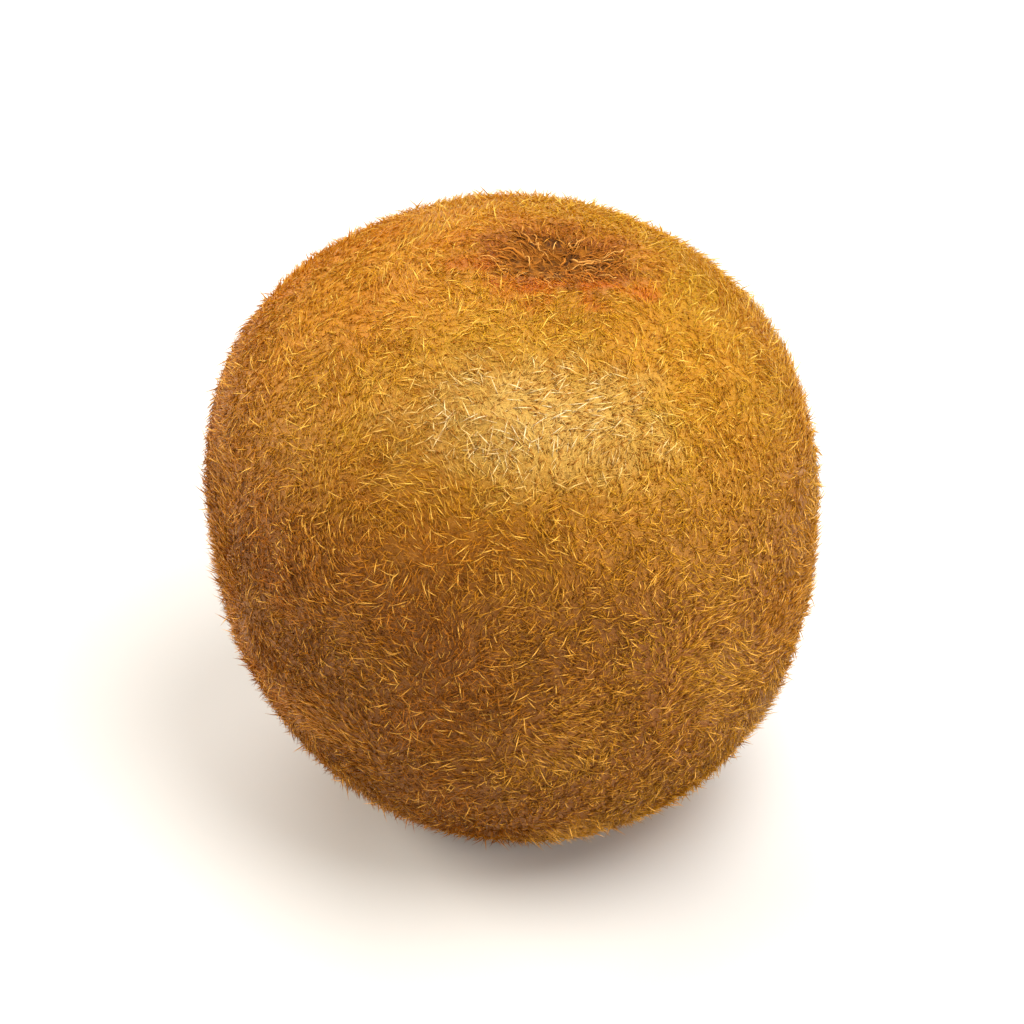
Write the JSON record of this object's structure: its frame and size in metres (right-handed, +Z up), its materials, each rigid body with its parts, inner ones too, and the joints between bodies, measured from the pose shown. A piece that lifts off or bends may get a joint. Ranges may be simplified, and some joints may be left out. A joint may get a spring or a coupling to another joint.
{
  "type": "kiwi fruit",
  "caption": "Whole kiwi fruit with hairy golden-brown skin, standing on its stem end, with the dried calyx below and withered styles on top.",
  "frame": {"origin": "on the surface that the fruit stands on, at the middle of its box in X and Y", "axes": "+Z up, from the stem end to the blossom end; the reader looks along +Y, with +X to the right"},
  "size_m": [0.0544, 0.0506, 0.0583],
  "materials": {
    "fruit_skin": "thin matte skin under a dense coat of short golden-brown hairs",
    "dry_calyx": "dry, papery, matte",
    "dry_styles": "withered, fibrous, matte"
  },
  "bodies": {
    "root": {"fruit": "fruit_skin", "calyx": "dry_calyx", "dried_styles": "dry_styles"}
  },
  "joints": []
}
